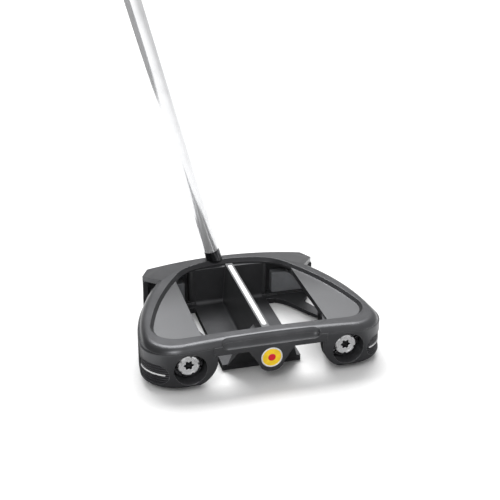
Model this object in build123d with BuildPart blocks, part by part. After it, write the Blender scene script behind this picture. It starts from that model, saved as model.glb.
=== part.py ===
from build123d import *
import math
import os

# Right-handed mallet putter. Millimetres. The origin lies on the ground, on the flat pad of the sole,
# midway between the face and the rear. +X points to the toe, +Y to the target and +Z up. Most of the head
# is the same on both sides of the sight line, so its outlines are drawn for +X and mirrored.

# head, driving sizes
HALF_DEPTH = 52.0
HALF_WIDTH = 66.0
BLOCK_HALF_WIDTH = 52.3
LOFT_ANGLE = 3.0
LIE_LEAN = 15.4

# crown: a curved plate that lies on the chassis, bent about an axis along Y, with a front that slopes down
CROWN_TOP = 29.6
CROWN_STOCK_BASE = CROWN_TOP - 14.0
CROWN_STOCK_HEIGHT = 20.0
CROWN_RADIUS = 700.0
CROWN_PLATE = 3.0
CROWN_SHOULDER = 5.0
SLOPE_ANGLE = 5.71
SLOPE_RADIUS = 300.0
SLOPE_Y = 50.5
SLOPE_Z = 29.1
FACE_TOP_RADIUS = 1.5
WING_CORNER = 6.0
WEB_DROP = 1.8
WEB_PLATE = 3.3
WEB_OVERLAP = 1.5
WEB_EDGE_X = 35.1
WINDOW_BEVEL = 2.0
WINDOW_FRONT = 41.7
WINDOW_REAR = -40.5

# cove along the rear of the crown and the bridge
COVE_RADIUS = 5.26
COVE_Y = -HALF_DEPTH - 1.5
COVE_Z = 29.0
COVE_HALF_LENGTH = 23.0

# chassis
BLOCK_REAR = 39.0
SOLE_PLATE = 3.5
SOLE_RISE_ANGLE = 4.0
BLOCK_FOOT_RADIUS = 2.8
BLOCK_FOOT_REACH = 20.4
TRAY_HALF_WIDTH = 22.3
TRAY_REAR = -33.0
RIB_TOP = 28.0
RIB_TOP_WIDTH = 4.4
RIB_BASE_WIDTH = 8.0
RIB_FOOT_RADIUS = 1.5
BRIDGE_UNDERSIDE = 21.1
BRIDGE_HALF_LENGTH = 31.0
BOSS_THICKNESS = 7.0
RING_CORNER_RADIUS = 19.0

# pods: their outer rear corners are quarters of an ellipse
POD_REAR = -50.8
POD_FRONT = 7.5
POD_FLOOR = 3.3
CORNER_X = 46.5
CORNER_Y = -32.0
CORNER_REACH_X = 20.7
CORNER_REACH_Y = CORNER_Y - POD_REAR
POD_LOWER_RADIUS = 2.1
POD_UPPER_RADIUS = 1.3

# slot round the corner of each pod, with the corner weight in it; depths are below the pod's side
SLOT_ANGLE = 34.0
SLOT_SHIFT = 1.4
SLOT_Z = 11.2
SLOT_LENGTH = 22.0
SLOT_HEIGHT = 11.4
SLOT_DEPTH = 1.6
WEIGHT_FACE_DEPTH = 0.4
TRIM_LENGTH = 18.0
TRIM_HEIGHT = 0.8
TRIM_FACE_DEPTH = 0.15
TRIM_SEAT_DEPTH = 1.0

# pockets in the rear of the face block, and the pad in each
POCKET_INNER_X = 24.5
POCKET_OUTER_X = 49.5
POCKET_LOW = 4.5
POCKET_DEPTH = 6.0
POCKET_LEAD = 4.5
PAD_THICKNESS = 5.2
PAD_CORNER = 1.2
PAD_EDGE_RADIUS = 0.8

# face insert, measured along the face
INSERT_WIDTH = 78.0
INSERT_HEIGHT = 18.0
INSERT_CENTRE = 14.0
INSERT_CORNER = 4.0
INSERT_THICKNESS = 3.4
BOND_THICKNESS = 0.6
GROOVE_COUNT = 9
GROOVE_SPACING = 1.8
GROOVE_WIDTH = 0.7
GROOVE_DEPTH = 0.35

# badge on the boss
BADGE_Z = 16.0
BADGE_RADIUS = 5.9
BADGE_DEPTH = 1.0
BADGE_RISE = 0.2
BADGE_FIELD_THICKNESS = 0.5
BADGE_FIELD_RADIUS = 5.1
BADGE_CENTRE_RADIUS = 2.1

# sight line along the rib
LINE_FRONT = 37.5
LINE_REAR = -37.6
LINE_WIDTH = 2.5
LINE_DEPTH = 0.8

# weight ports, one in each pod
PORT_X = 43.6
PORT_Z = 14.0
PORT_RADIUS = 8.9
PORT_DEPTH = 11.0
BUSH_RADIUS = 6.5
BUSH_LENGTH = 12.0
THREAD_RADIUS = 4.0
RUNNING_GAP = 0.05
WEIGHT_HEAD_RADIUS = 5.8
WEIGHT_HEAD_LENGTH = 3.0
WEIGHT_HEAD_CHAMFER = 0.4
WEIGHT_SHANK_LENGTH = 13.0
SOCKET_RADIUS = 2.8
SOCKET_DEPTH = 2.2
SOCKET_LOBE = 0.6
SOCKET_LOBES = 6
NOTCH_RADIUS = 0.7
RING_RADIUS = 8.6
RING_THICKNESS = 2.0
RING_TABS = 5
RING_TURNS = {"heel": -32.0, "toe": 16.0}
TAB_LENGTH = 1.8
TAB_WIDTH = 2.4
TAB_HEIGHT = 1.4

# neck and shaft; distances along the shaft are from the ground
NECK_POINT = (-7.5, 45.8, 29.5)
NECK_RADIUS = 4.75
NECK_HEIGHT = 6.5
NECK_FLARE_RADIUS = 4.95
NECK_FLARE_HEIGHT = 1.0
NECK_FOOT = 1.6
NECK_ROOT_RADIUS = 3.0
NECK_ROOT_DEPTH = 6.0
SPIGOT_RADIUS = 4.0
SPIGOT_LENGTH = 30.0
SHAFT_TIP_RADIUS = 4.7
SHAFT_BUTT_RADIUS = 7.6
SHAFT_WALL = 0.7
STEP_START = 300.0
STEP_COUNT = 14
STEP_SPACING = 18.0
CLUB_LENGTH = 863.6
GRIP_LENGTH = 268.0
TAPE_THICKNESS = 0.4
GRIP_CAP_LENGTH = 5.0
GRIP_CAP_RADIUS = 1.8

# grip sections: flat in front, round behind; each is (front, back, half the flat's width) from the
# shaft's axis
GRIP_MOUTH = (9.3, 10.6, 7.6)
GRIP_BUTT = (10.8, 14.0, 11.0)
GRIP_CORNER = 2.0
TAPE_INSET = 8.0
VENT_RADIUS = 1.6

# screws that hold the crown down, driven up from under the block and the pods: x, y, height of the seat
# and height of the tip
SCREW_PLACES = ((42.6, 48.0, 4.2, 24.8), (59.3, -12.0, 8.5, 25.8))
SCREW_RADIUS = 1.5
SCREW_HEAD_RADIUS = 2.7
SCREW_HEAD_LENGTH = 1.8
SCREW_SOCKET = 1.15
SCREW_SOCKET_DEPTH = 1.2

os.makedirs("parts", exist_ok=True)


def save(builder, name):
    """Label a finished piece and write it as one STEP file."""
    builder.part.label = name
    export_step(builder.part, f"parts/{name}.step")


def dome(depth):
    """Everything under the crown's top surface, or under a parallel surface that is lower by depth."""
    barrel = Cylinder(CROWN_RADIUS - depth, 4 * HALF_DEPTH, rotation=(90, 0, 0), mode=Mode.PRIVATE)
    return Pos(0, 0, CROWN_TOP - CROWN_RADIUS) * barrel


def slope(depth):
    """Everything under the crown's sloping front, or under a parallel surface that is lower by depth."""
    tilt = math.radians(SLOPE_ANGLE)
    turn = (90 - SLOPE_ANGLE, 0, 0)
    barrel = Cylinder(SLOPE_RADIUS - depth, 6 * HALF_DEPTH, rotation=turn, mode=Mode.PRIVATE)
    axis_y = SLOPE_Y - SLOPE_RADIUS * math.sin(tilt)
    axis_z = SLOPE_Z - SLOPE_RADIUS * math.cos(tilt)
    return Pos(0, axis_y, axis_z) * barrel


def ring_outline():
    """Right-hand half of the ring's outer outline, from the front bar round to the rear edge."""
    front_line = Line((0, 46.0), (15.9, 46.0))
    front = TangentArc(front_line @ 1, (45.5, 30.5), tangent=(1, 0))
    side = ThreePointArc(front @ 1, (58.8, 5.0), (HALF_WIDTH, RING_CORNER_RADIUS - HALF_DEPTH))
    corner = RadiusArc(side @ 1, (HALF_WIDTH - RING_CORNER_RADIUS, -HALF_DEPTH), RING_CORNER_RADIUS)
    Polyline(corner @ 1, (0, -HALF_DEPTH), (0, 46.0))


def window_outline():
    """Right-hand half of the crown's opening, at the foot of the bevel round it."""
    Line((0, WINDOW_REAR), (0, WINDOW_FRONT))
    front = ThreePointArc((0, WINDOW_FRONT), (10.0, WINDOW_FRONT - 0.62), (19.5, 39.3))
    shoulder_bend = TangentArc(front @ 1, (33.5, 28.6), tangent=front % 1)
    side = ThreePointArc(shoulder_bend @ 1, (48.1, 4.1), (57.3, -22.0))
    corner = TangentArc(side @ 1, (44.0, WINDOW_REAR + 1.3), tangent=side % 1)
    ThreePointArc(corner @ 1, (22.0, WINDOW_REAR + 0.33), (0, WINDOW_REAR))


def block_outline(rear):
    """Right-hand half of the face block's outline in plan, back to its rear wall."""
    wing_tip = (BLOCK_HALF_WIDTH, 41.0)
    end_line = FilletPolyline((0, HALF_DEPTH), (46.7, HALF_DEPTH), wing_tip, radius=WING_CORNER)
    Polyline(end_line @ 1, *rear, (0, HALF_DEPTH))


def neck_plane(height):
    """Plane across the neck and shaft, at a distance along their leaning axis above the crown."""
    lean = math.radians(LIE_LEAN)
    across = (math.cos(lean), 0, math.sin(lean))
    along = (-math.sin(lean), 0, math.cos(lean))
    return Plane(NECK_POINT, x_dir=across, z_dir=along).offset(height)


# Cove: the tool that hollows the rear of the crown and of the bridge below it, with rounded ends.
with BuildPart() as cove:
    with Locations((0, COVE_Y, COVE_Z)):
        Cylinder(COVE_RADIUS, 2 * COVE_HALF_LENGTH, rotation=(0, 90, 0))
    with Locations((-COVE_HALF_LENGTH, COVE_Y, COVE_Z), (COVE_HALF_LENGTH, COVE_Y, COVE_Z)):
        Sphere(COVE_RADIUS)

# Corner webs: thin plates inside the ring, lower than its top.
with BuildPart() as webs:
    with BuildSketch(Plane.XY.offset(CROWN_STOCK_BASE)):
        with BuildLine():
            window_outline()
        make_face()
        mirror(about=Plane.YZ)
        offset(amount=WEB_OVERLAP)
        Rectangle(2 * WEB_EDGE_X, 4 * HALF_DEPTH, mode=Mode.SUBTRACT)
    extrude(amount=CROWN_STOCK_HEIGHT)
    add(dome(WEB_DROP), mode=Mode.INTERSECT)
    add(dome(WEB_DROP + WEB_PLATE), mode=Mode.SUBTRACT)

# Crown: a ring with a rounded shoulder, a front bar with two wings, and the webs in its rear corners.
with BuildPart() as crown:
    with BuildSketch(Plane.XY.offset(CROWN_STOCK_BASE)):
        with BuildLine():
            ring_outline()
        make_face()
        mirror(about=Plane.YZ)
    extrude(amount=CROWN_STOCK_HEIGHT)
    add(dome(0.0), mode=Mode.INTERSECT)
    shoulder = crown.faces().sort_by(Axis.Z)[-1].outer_wire().edges()
    fillet(shoulder, CROWN_SHOULDER)
    with BuildSketch(Plane.XY.offset(CROWN_STOCK_BASE)):
        with BuildLine():
            block_outline([(43.0, 26.3), (0, 36.0)])
        make_face()
        mirror(about=Plane.YZ)
    extrude(amount=CROWN_STOCK_HEIGHT)
    add(dome(0.0), mode=Mode.INTERSECT)
    with BuildSketch(Plane.XY):
        with BuildLine():
            window_outline()
        make_face()
        mirror(about=Plane.YZ)
    extrude(amount=40.0, mode=Mode.SUBTRACT)
    top_face = crown.faces().filter_by(GeomType.CYLINDER).sort_by(Axis.Z)[-1]
    chamfer(top_face.inner_wires()[0].edges(), WINDOW_BEVEL)
    add(slope(0.0), mode=Mode.INTERSECT)
    add(dome(CROWN_PLATE) & slope(CROWN_PLATE), mode=Mode.SUBTRACT)
    add(webs.part)
    add(cove.part, mode=Mode.SUBTRACT)

FACE_TILT = math.radians(LOFT_ANGLE)
FACE = Plane((0, HALF_DEPTH, 0), x_dir=(-1, 0, 0), z_dir=(0, math.cos(FACE_TILT), math.sin(FACE_TILT)))

# Pods: one in each rear corner, rounded underneath, running forward under the web.
with BuildPart() as pods:
    with BuildSketch(Plane.XY):
        with BuildLine():
            corner_arc = EllipticalCenterArc((CORNER_X, CORNER_Y), CORNER_REACH_X, CORNER_REACH_Y, 270,
                                             arc_size=90)
            pod_side = ThreePointArc(corner_arc @ 1, (64.9, -14.0), (58.0, POD_FRONT))
            Polyline(pod_side @ 1, (46.0, POD_FRONT), (41.5, -8.0), (29.0, POD_REAR), corner_arc @ 0)
        make_face()
    extrude(amount=CROWN_TOP)
    with BuildSketch(Plane.XZ.offset(HALF_DEPTH)):
        with BuildLine():
            under = ThreePointArc((28.6, 19.5), (33.0, 8.0), (40.5, POD_FLOOR))
            Polyline(under @ 1, (70.0, POD_FLOOR), (70.0, 30.0), (28.0, 30.0), under @ 0)
        make_face()
    extrude(amount=-2 * HALF_DEPTH, mode=Mode.INTERSECT)
    add(dome(CROWN_PLATE), mode=Mode.INTERSECT)
    outer_edges = pods.edges().filter_by_position(Axis.X, CORNER_X - 1, HALF_WIDTH + 5)
    lower_edges = outer_edges.filter_by_position(Axis.Z, POD_FLOOR - 0.1, POD_FLOOR + 0.1)
    fillet(lower_edges.filter_by_position(Axis.Y, POD_REAR - 1, POD_FRONT - 1), POD_LOWER_RADIUS)
    upper_edges = pods.edges().filter_by_position(Axis.Z, 20.0, CROWN_TOP)
    fillet(upper_edges.filter_by_position(Axis.X, 60.0, 68.0), POD_UPPER_RADIUS)
    mirror(about=Plane.YZ)

# Gusset: the rib's foot, which spreads into the leaning wall at the tray's rear.
with BuildPart() as gusset:
    with BuildSketch(Plane.XY.offset(SOLE_PLATE - 0.5)):
        with BuildLine():
            Polyline((0, -34.0), (20.1, -34.0), (13.4, -21.1), (4.2, -9.0), (0, -9.0), close=True)
        make_face()
        mirror(about=Plane.YZ)
    with BuildSketch(Plane.XY.offset(BRIDGE_UNDERSIDE + 0.5)):
        with BuildLine():
            Polyline((0, -45.6), (13.2, -45.6), (9.0, -33.0), (2.2, -24.0), (0, -24.0), close=True)
        make_face()
        mirror(about=Plane.YZ)
    loft(ruled=True)

# Rib: upright under the sight line, with a rounded foot on each side and a rear end that leans like the
# gusset.
with BuildPart() as rib:
    with BuildSketch(Plane.XZ.offset(-BLOCK_REAR - 1.0)):
        with BuildLine():
            foot_x = RIB_BASE_WIDTH / 2
            toe_x = foot_x + RIB_FOOT_RADIUS
            Polyline((0, 1.0), (toe_x, 1.0), (toe_x, SOLE_PLATE))
            rib_foot = RadiusArc((toe_x, SOLE_PLATE), (foot_x, SOLE_PLATE + RIB_FOOT_RADIUS), RIB_FOOT_RADIUS)
            Polyline(rib_foot @ 1, (RIB_TOP_WIDTH / 2, RIB_TOP), (0, RIB_TOP), (0, 1.0))
        make_face()
        mirror(about=Plane.YZ)
    extrude(amount=2 * HALF_DEPTH)
    with BuildSketch(Plane.YZ.offset(-HALF_WIDTH)):
        with BuildLine():
            Polyline((BLOCK_REAR + 1.0, 0), (TRAY_REAR, 0), (TRAY_REAR, SOLE_PLATE),
                     (WINDOW_REAR - 2.0, 20.0), (WINDOW_REAR - 2.0, CROWN_TOP), (BLOCK_REAR + 1.0, CROWN_TOP),
                     close=True)
        make_face()
    extrude(amount=2 * HALF_WIDTH, mode=Mode.INTERSECT)


def corner_plane(side):
    """Upright plane inside a pod's rounded corner that faces out through the middle of the slot."""
    turn = math.radians(SLOT_ANGLE)
    outward = (side * math.cos(turn), -math.sin(turn), 0)
    along = (side * math.sin(turn), math.cos(turn), 0)
    centre_x = CORNER_X + SLOT_SHIFT * math.sin(turn)
    centre_y = CORNER_Y + SLOT_SHIFT * math.cos(turn)
    return Plane((side * centre_x, centre_y, SLOT_Z), x_dir=along, z_dir=outward)


# Corner forms: upright posts in the pods' rounded corners, lower than the pods' sides by each depth in turn.
corner_forms = {}
for depth in (SLOT_DEPTH, WEIGHT_FACE_DEPTH, TRIM_FACE_DEPTH, TRIM_SEAT_DEPTH):
    with BuildPart() as corner_form:
        with BuildSketch():
            with Locations((-CORNER_X, CORNER_Y), (CORNER_X, CORNER_Y)):
                Ellipse(CORNER_REACH_X - depth, CORNER_REACH_Y - depth)
        extrude(amount=CROWN_TOP)
    corner_forms[depth] = corner_form.part

# Corner weights, and the slots that they lie in.
corner_weights = {}
corner_slots = {}
corner_trims = {}
for name, side in (("heel", -1), ("toe", 1)):
    with BuildPart() as slot:
        with BuildSketch(corner_plane(side)):
            SlotOverall(SLOT_LENGTH, SLOT_HEIGHT)
        extrude(amount=30.0)
        add(corner_forms[SLOT_DEPTH], mode=Mode.SUBTRACT)
    corner_slots[name] = slot.part
    with BuildPart() as trim:
        with BuildSketch(corner_plane(side)):
            SlotOverall(TRIM_LENGTH, TRIM_HEIGHT)
        extrude(amount=30.0)
        add(corner_forms[TRIM_SEAT_DEPTH], mode=Mode.SUBTRACT)
        add(corner_forms[TRIM_FACE_DEPTH], mode=Mode.INTERSECT)
    corner_trims[name] = trim
    with BuildPart() as corner_weight:
        add(slot.part)
        add(corner_forms[WEIGHT_FACE_DEPTH], mode=Mode.INTERSECT)
        add(trim.part, mode=Mode.SUBTRACT)
    corner_weights[name] = corner_weight

# Screws: cap heads in counterbores, shanks up through the chassis into the crown.
screw_seats = [(side * x, y, z, tip) for x, y, z, tip in SCREW_PLACES for side in (-1, 1)]
with BuildPart() as crown_screws:
    for x, y, z, tip in screw_seats:
        with Locations((x, y, z)):
            Cylinder(SCREW_RADIUS, tip - z, align=(Align.CENTER, Align.CENTER, Align.MIN))
            Cylinder(SCREW_HEAD_RADIUS, SCREW_HEAD_LENGTH, align=(Align.CENTER, Align.CENTER, Align.MAX))
        with BuildSketch(Plane.XY.offset(z - SCREW_HEAD_LENGTH)):
            with Locations((x, y)):
                RegularPolygon(SCREW_SOCKET, 6)
        extrude(amount=SCREW_SOCKET_DEPTH, mode=Mode.SUBTRACT)
save(crown_screws, "crown_screws")

with BuildPart() as screw_holes:
    for x, y, z, tip in screw_seats:
        with Locations((x, y, z)):
            Cylinder(SCREW_RADIUS, tip - z, align=(Align.CENTER, Align.CENTER, Align.MIN))
            Cylinder(SCREW_HEAD_RADIUS + 0.1, 10.0, align=(Align.CENTER, Align.CENTER, Align.MAX))

# Chassis: face block, sole tray with its arms, weight pods, rib, tail gusset and rear bridge, in one piece.
with BuildPart() as chassis:
    # face block
    with BuildSketch(Plane.XY):
        with BuildLine():
            block_outline([(BLOCK_HALF_WIDTH, BLOCK_REAR), (0, BLOCK_REAR)])
        make_face()
        mirror(about=Plane.YZ)
    extrude(amount=CROWN_TOP)
    # pockets in the block's rear, open at the top and closed there by the crown
    with BuildSketch(Plane.XY.offset(POCKET_LOW)):
        with BuildLine():
            lead_start = (POCKET_INNER_X - POCKET_LEAD, BLOCK_REAR)
            lead = RadiusArc(lead_start, (POCKET_INNER_X, BLOCK_REAR + POCKET_LEAD), -POCKET_LEAD)
            pocket_back = BLOCK_REAR + POCKET_DEPTH
            Polyline(lead @ 1, (POCKET_INNER_X, pocket_back), (POCKET_OUTER_X, pocket_back),
                     (POCKET_OUTER_X, BLOCK_REAR), lead @ 0)
        make_face()
        mirror(about=Plane.YZ)
    extrude(amount=CROWN_TOP, mode=Mode.SUBTRACT)
    # rear bridge and its boss
    with Locations((0, -HALF_DEPTH, BRIDGE_UNDERSIDE)):
        Box(2 * BRIDGE_HALF_LENGTH, 13.0, 12.0, align=(Align.CENTER, Align.MIN, Align.MIN))
    with BuildSketch(Plane.XZ.offset(HALF_DEPTH)):
        with BuildLine():
            Polyline((0, 24.0), (13.0, 24.0), (12.6, 21.0), (7.8, 14.2), (5.6, 9.9))
            ThreePointArc((5.6, 9.9), (3.2, 8.2), (0, 7.6))
            Line((0, 7.6), (0, 24.0))
        make_face()
        mirror(about=Plane.YZ)
    extrude(amount=-BOSS_THICKNESS)
    add(dome(CROWN_PLATE) & slope(CROWN_PLATE), mode=Mode.INTERSECT)
    add(pods.part)
    add(cove.part, mode=Mode.SUBTRACT)
    # sole tray and its curved arms
    with BuildSketch(Plane.XY):
        with BuildLine():
            Polyline((0, TRAY_REAR), (0, BLOCK_REAR + 1.0), (50.5, BLOCK_REAR + 1.0), (47.5, 32.0),
                     (43.8, 27.0))
            arm_outer = Spline((43.8, 27.0), (47.2, 19.5), (52.0, 5.0), (55.0, -6.0))
            arm_end = Polyline(arm_outer @ 1, (45.5, -6.0), (46.3, 7.0))
            arm_inner = Spline(arm_end @ 1, (42.8, 12.2), (39.0, 19.3), (35.5, 25.8), (32.0, 31.0),
                               (28.0, 34.8))
            Polyline(arm_inner @ 1, (TRAY_HALF_WIDTH, 34.9), (TRAY_HALF_WIDTH, TRAY_REAR), (0, TRAY_REAR))
        make_face()
        mirror(about=Plane.YZ)
    extrude(amount=SOLE_PLATE)
    # rounded foot of the block's rear wall
    with BuildSketch(Plane.YZ.offset(-BLOCK_FOOT_REACH)):
        with BuildLine():
            foot_y = BLOCK_REAR - BLOCK_FOOT_RADIUS
            foot_z = SOLE_PLATE + BLOCK_FOOT_RADIUS
            foot = RadiusArc((foot_y, SOLE_PLATE), (BLOCK_REAR, foot_z), -BLOCK_FOOT_RADIUS)
            Polyline(foot @ 1, (BLOCK_REAR + 1.0, foot_z), (BLOCK_REAR + 1.0, 1.0), (foot_y, 1.0), foot @ 0)
        make_face()
    extrude(amount=2 * BLOCK_FOOT_REACH)
    add(gusset.part)
    add(rib.part)
    add(crown.part, mode=Mode.SUBTRACT)
    # sight line groove
    with BuildSketch(Plane.XY.offset(RIB_TOP)):
        with Locations((0, (LINE_FRONT + LINE_REAR) / 2)):
            SlotOverall(LINE_FRONT - LINE_REAR, LINE_WIDTH, rotation=90)
    extrude(amount=-LINE_DEPTH, mode=Mode.SUBTRACT)
    # ports, bush seats, corner slots and badge seat
    for side in (-1, 1):
        with BuildSketch(Plane.XZ.offset(HALF_DEPTH)):
            with Locations((side * PORT_X, PORT_Z)):
                Circle(PORT_RADIUS)
        extrude(amount=-PORT_DEPTH, mode=Mode.SUBTRACT)
        with BuildSketch(Plane.XZ.offset(HALF_DEPTH)):
            with Locations((side * PORT_X, PORT_Z)):
                Circle(BUSH_RADIUS)
        extrude(amount=-PORT_DEPTH - BUSH_LENGTH, mode=Mode.SUBTRACT)
    add(corner_slots["heel"], mode=Mode.SUBTRACT)
    add(corner_slots["toe"], mode=Mode.SUBTRACT)
    with BuildSketch(Plane.XZ.offset(HALF_DEPTH)):
        with Locations((0, BADGE_Z)):
            Circle(BADGE_RADIUS)
    extrude(amount=-BADGE_DEPTH, mode=Mode.SUBTRACT)
    add(screw_holes.part, mode=Mode.SUBTRACT)
    # sole rise towards heel and toe
    with BuildSketch(Plane.XZ.offset(HALF_DEPTH + 5.0)):
        with BuildLine():
            rise = 60.0 * math.tan(math.radians(SOLE_RISE_ANGLE))
            Polyline((22.0, 0), (82.0, rise), (82.0, -1.0), (22.0, -1.0), close=True)
        make_face()
        mirror(about=Plane.YZ)
    extrude(amount=-3 * HALF_DEPTH, mode=Mode.SUBTRACT)
    # face and its insert pocket
    split(bisect_by=FACE, keep=Keep.BOTTOM)
    with BuildSketch(FACE):
        with Locations((0, INSERT_CENTRE)):
            RectangleRounded(INSERT_WIDTH, INSERT_HEIGHT, INSERT_CORNER)
    extrude(amount=-INSERT_THICKNESS - BOND_THICKNESS, mode=Mode.SUBTRACT)
    # bore for the neck's root
    with BuildSketch(neck_plane(2.0)):
        Circle(NECK_ROOT_RADIUS)
    extrude(amount=-NECK_ROOT_DEPTH - 2.0, mode=Mode.SUBTRACT)
save(chassis, "chassis")

# Crown, finished with the slope of the face, the neck's hole and the screws' threads.
with BuildPart() as crown_plate:
    add(crown.part)
    add(screw_holes.part, mode=Mode.SUBTRACT)
    split(bisect_by=FACE, keep=Keep.BOTTOM)
    face_edges = crown_plate.faces().sort_by(Axis.Y)[-1].edges()
    fillet(face_edges.sort_by(Axis.Z)[-1], FACE_TOP_RADIUS)
    with BuildSketch(neck_plane(2.0)):
        Circle(NECK_ROOT_RADIUS)
    extrude(amount=-NECK_ROOT_DEPTH - 2.0, mode=Mode.SUBTRACT)
save(crown_plate, "crown_plate")

# Face insert with level grooves, and the pad that bonds it to the block.
with BuildPart() as bond_pad:
    with BuildSketch(FACE.offset(-INSERT_THICKNESS - BOND_THICKNESS)):
        with Locations((0, INSERT_CENTRE)):
            RectangleRounded(INSERT_WIDTH, INSERT_HEIGHT, INSERT_CORNER)
    extrude(amount=BOND_THICKNESS)
save(bond_pad, "bond_pad")

with BuildPart() as face_insert:
    with BuildSketch(FACE.offset(-INSERT_THICKNESS)):
        with Locations((0, INSERT_CENTRE)):
            RectangleRounded(INSERT_WIDTH, INSERT_HEIGHT, INSERT_CORNER)
    extrude(amount=INSERT_THICKNESS)
    with BuildSketch(FACE):
        with Locations((0, INSERT_CENTRE)):
            with GridLocations(0, GROOVE_SPACING, 1, GROOVE_COUNT):
                Rectangle(INSERT_WIDTH - 2 * INSERT_CORNER, GROOVE_WIDTH)
    extrude(amount=-GROOVE_DEPTH, mode=Mode.SUBTRACT)
save(face_insert, "face_insert")

# Sight line: an inlay with rounded ends along the rib.
with BuildPart() as sight_line:
    with BuildSketch(Plane.XY.offset(RIB_TOP - LINE_DEPTH)):
        with Locations((0, (LINE_FRONT + LINE_REAR) / 2)):
            SlotOverall(LINE_FRONT - LINE_REAR, LINE_WIDTH, rotation=90)
    extrude(amount=LINE_DEPTH)
save(sight_line, "sight_line")

# Badge: a plain ring with a filled field and a raised centre stud.
with BuildPart() as badge_rim:
    with BuildSketch(Plane.XZ.offset(HALF_DEPTH - BADGE_DEPTH)):
        with Locations((0, BADGE_Z)):
            Circle(BADGE_RADIUS)
    extrude(amount=BADGE_DEPTH + BADGE_RISE)
    with BuildSketch(Plane.XZ.offset(HALF_DEPTH + BADGE_RISE)):
        with Locations((0, BADGE_Z)):
            Circle(BADGE_FIELD_RADIUS)
    extrude(amount=-BADGE_FIELD_THICKNESS - BADGE_RISE, mode=Mode.SUBTRACT)
    rim_edges = badge_rim.faces().sort_by(Axis.Y)[0].outer_wire().edges()
    fillet(rim_edges, BADGE_RISE)
save(badge_rim, "badge_rim")

with BuildPart() as badge_field:
    with BuildSketch(Plane.XZ.offset(HALF_DEPTH - BADGE_FIELD_THICKNESS)):
        with Locations((0, BADGE_Z)):
            Circle(BADGE_FIELD_RADIUS)
            Circle(BADGE_CENTRE_RADIUS, mode=Mode.SUBTRACT)
    extrude(amount=BADGE_FIELD_THICKNESS)
save(badge_field, "badge_field")

with BuildPart() as badge_centre:
    with BuildSketch(Plane.XZ.offset(HALF_DEPTH - BADGE_FIELD_THICKNESS)):
        with Locations((0, BADGE_Z)):
            Circle(BADGE_CENTRE_RADIUS)
    extrude(amount=BADGE_FIELD_THICKNESS + BADGE_RISE / 2)
save(badge_centre, "badge_centre")


def port_plane(side, depth):
    """Plane across a port, facing out to the rear, at a depth below the pod's rear face."""
    return Plane((side * PORT_X, depth - HALF_DEPTH, PORT_Z), x_dir=(1, 0, 0), z_dir=(0, -1, 0))


# Parts that both pods carry: port bush, screw weight, the ring captive under its head, corner weight and
# trim, and the pad in the pocket of the face block.
for name, side in (("heel", -1), ("toe", 1)):
    tab_turn = RING_TURNS[name]
    with BuildPart() as port_bush:
        with BuildSketch(port_plane(side, PORT_DEPTH)):
            Circle(BUSH_RADIUS)
            Circle(THREAD_RADIUS + RUNNING_GAP, mode=Mode.SUBTRACT)
        extrude(amount=-BUSH_LENGTH)
    save(port_bush, f"{name}_port_bush")

    ring_depth = PORT_DEPTH - RING_THICKNESS
    with BuildPart() as weight_ring:
        with BuildSketch(port_plane(side, ring_depth)):
            Circle(RING_RADIUS)
            Circle(THREAD_RADIUS + RUNNING_GAP, mode=Mode.SUBTRACT)
        extrude(amount=-RING_THICKNESS)
        with BuildSketch(port_plane(side, ring_depth)):
            with PolarLocations((RING_RADIUS + WEIGHT_HEAD_RADIUS) / 2, RING_TABS, start_angle=tab_turn):
                Rectangle(TAB_LENGTH, TAB_WIDTH)
        extrude(amount=TAB_HEIGHT)
    save(weight_ring, f"{name}_weight_ring")

    head_depth = ring_depth - WEIGHT_HEAD_LENGTH
    with BuildPart() as weight:
        with BuildSketch(port_plane(side, ring_depth)):
            Circle(WEIGHT_HEAD_RADIUS)
        extrude(amount=WEIGHT_HEAD_LENGTH)
        head_rim = weight.faces().sort_by(Axis.Y)[0].edges()
        chamfer(head_rim, WEIGHT_HEAD_CHAMFER)
        with BuildSketch(port_plane(side, ring_depth)):
            Circle(THREAD_RADIUS)
        extrude(amount=-WEIGHT_SHANK_LENGTH)
        with BuildSketch(port_plane(side, head_depth)):
            Circle(SOCKET_RADIUS - SOCKET_LOBE)
            with PolarLocations(SOCKET_RADIUS - SOCKET_LOBE, SOCKET_LOBES):
                Circle(SOCKET_LOBE)
        extrude(amount=-SOCKET_DEPTH, mode=Mode.SUBTRACT)
        with BuildSketch(port_plane(side, head_depth)):
            notch_turn = tab_turn + 180 / RING_TABS
            with PolarLocations(WEIGHT_HEAD_RADIUS, RING_TABS, start_angle=notch_turn):
                Circle(NOTCH_RADIUS)
        extrude(amount=-WEIGHT_HEAD_LENGTH / 2, mode=Mode.SUBTRACT)
    save(weight, f"{name}_weight")

    save(corner_weights[name], f"{name}_corner_weight")
    save(corner_trims[name], f"{name}_corner_trim")

    with BuildPart() as block_pad:
        with BuildSketch(Plane.XZ.offset(-BLOCK_REAR - POCKET_DEPTH)):
            with BuildLine():
                FilletPolyline((side * 27.0, POCKET_LOW), (side * 27.0, 18.4), (side * 36.6, 18.0),
                               (side * 40.6, 15.0), (side * 47.5, 14.6), (side * 47.5, POCKET_LOW),
                               close=True, radius=PAD_CORNER)
            make_face()
        extrude(amount=PAD_THICKNESS)
        pad_rim = block_pad.faces().sort_by(Axis.Y)[0].edges()
        fillet(pad_rim, PAD_EDGE_RADIUS)
    save(block_pad, f"{name}_block_pad")

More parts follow.
